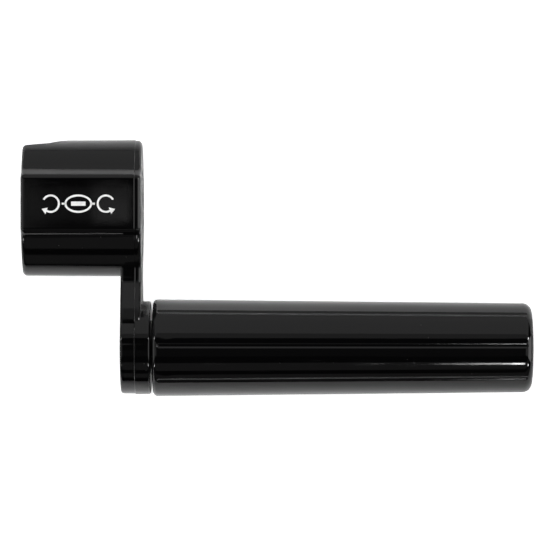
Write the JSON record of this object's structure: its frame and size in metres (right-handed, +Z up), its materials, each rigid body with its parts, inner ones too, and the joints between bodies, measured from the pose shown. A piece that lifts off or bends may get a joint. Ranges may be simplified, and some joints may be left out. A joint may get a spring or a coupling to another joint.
{
  "type": "guitar string winder",
  "caption": "Hand crank for guitar tuning pegs: an oval cup with a bridge-pin notch, an offset arm and a grooved grip that spins freely on a steel spindle.",
  "frame": {"origin": "centre of the peg cup's mouth, on the cup's axis and on the mid-plane", "axes": "+X from the mouth into the cup and along the handle, +Y from the handle's axis to the cup's axis, +Z up as it lies flat on its rear panel and grip"},
  "size_m": [0.11, 0.0555, 0.021],
  "materials": {
    "gloss_black": "polished black moulding",
    "steel": "turned, bright",
    "black_nylon": "moulded black nylon",
    "acetal": "natural acetal"
  },
  "bodies": {
    "crank": {"crank_head": "gloss_black", "spindle": "steel", "thrust_washer": "black_nylon", "retaining_washer": "steel", "retaining_screw": "steel"},
    "grip": {"grip_shell": "gloss_black", "front_bush": "black_nylon", "rear_bush": "acetal", "end_plug": "gloss_black"}
  },
  "joints": [
    {"name": "grip_spin", "type": "hinge", "parent": "crank", "child": "grip", "pos_m": [0.0281, -0.0302, 0], "axis": [1, 0, 0], "continuous": true}
  ]
}
